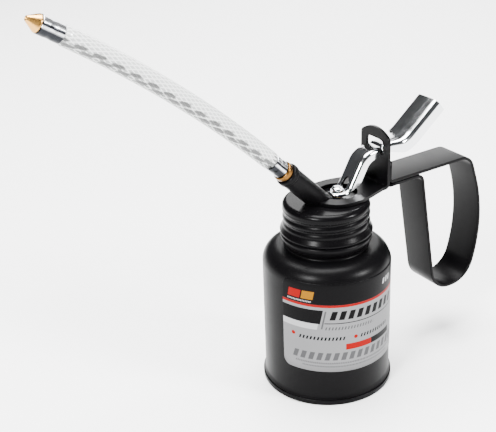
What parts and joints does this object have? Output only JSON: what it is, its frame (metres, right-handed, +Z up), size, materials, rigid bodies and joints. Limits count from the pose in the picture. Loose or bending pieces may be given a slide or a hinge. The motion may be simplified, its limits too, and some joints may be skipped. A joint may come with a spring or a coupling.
{
  "type": "pump oil can",
  "caption": "Small black pump oil can with a chromed thumb lever, a strap handle and a clear flexible spout with a brass nozzle.",
  "frame": {"origin": "on the floor under the middle of the can's overall box, spout and handle included", "axes": "+Z up, +X towards the handle, -X towards the spout"},
  "size_m": [0.1998, 0.056, 0.1802],
  "materials": {
    "black_enamel": "gloss",
    "label_print": "satin",
    "chrome": "polished",
    "brass": "satin",
    "zinc_steel": "satin",
    "black_rubber": "matt",
    "clear_hose": "gloss"
  },
  "bodies": {
    "can": {"can_body": "black_enamel", "can_bottom": "black_enamel", "label": "label_print"},
    "gasket_ring": {"cap_gasket": "black_rubber"},
    "pump_head": {"pump_cap": "black_enamel", "valve_block": "zinc_steel", "gland_nut": "brass", "gland_packing": "black_rubber", "pump_barrel": "zinc_steel", "foot_valve": "brass", "ball_pin": "zinc_steel", "spout_socket": "black_enamel", "hose_adapter": "brass", "lower_ferrule": "chrome", "spout_hose": "clear_hose", "upper_ferrule": "chrome", "nozzle_tip": "brass", "fulcrum_bracket": "black_enamel", "handle_strap": "black_enamel"},
    "lever": {"thumb_lever": "chrome"},
    "plunger": {"plunger_rod": "chrome", "piston": "brass", "piston_cup": "black_rubber", "return_spring": "zinc_steel"},
    "inlet_check_ball": {"inlet_ball": "zinc_steel"},
    "outlet_check_ball": {"outlet_ball": "zinc_steel"}
  },
  "joints": [
    {"name": "cap_lift", "type": "slide", "parent": "can", "child": "gasket_ring", "axis": [0, 0, 1], "range_m": [0, 0.0102]},
    {"name": "cap_unscrew", "type": "hinge", "parent": "gasket_ring", "child": "pump_head", "pos_m": [0.01887, 0, 0], "axis": [0, 0, 1], "range_deg": [0, 1081]},
    {"name": "lever_press", "type": "hinge", "parent": "pump_head", "child": "lever", "pos_m": [0.04475, 0, 0.097], "axis": [0, 1, 0], "range_deg": [0, 25.2], "stiffness_Nm_per_rad": 0.04, "springref_deg": -14.32},
    {"name": "plunger_lift", "type": "slide", "parent": "pump_head", "child": "plunger", "axis": [0, 0, 1], "range_m": [0, 0.00994], "deforming": ["return_spring"]},
    {"name": "inlet_ball_lift", "type": "slide", "parent": "pump_head", "child": "inlet_check_ball", "axis": [0, 0, 1], "range_m": [0, 0.0012]},
    {"name": "outlet_ball_lift", "type": "slide", "parent": "pump_head", "child": "outlet_check_ball", "axis": [-0.7046, 0, 0.7096], "range_m": [0, 0.0012]}
  ],
  "couplings": [
    {"joint": "cap_unscrew", "follows": "cap_lift", "rad_per_m": 1848},
    {"joint": "lever_press", "follows": "plunger_lift", "rad_per_m": 43.86}
  ]
}
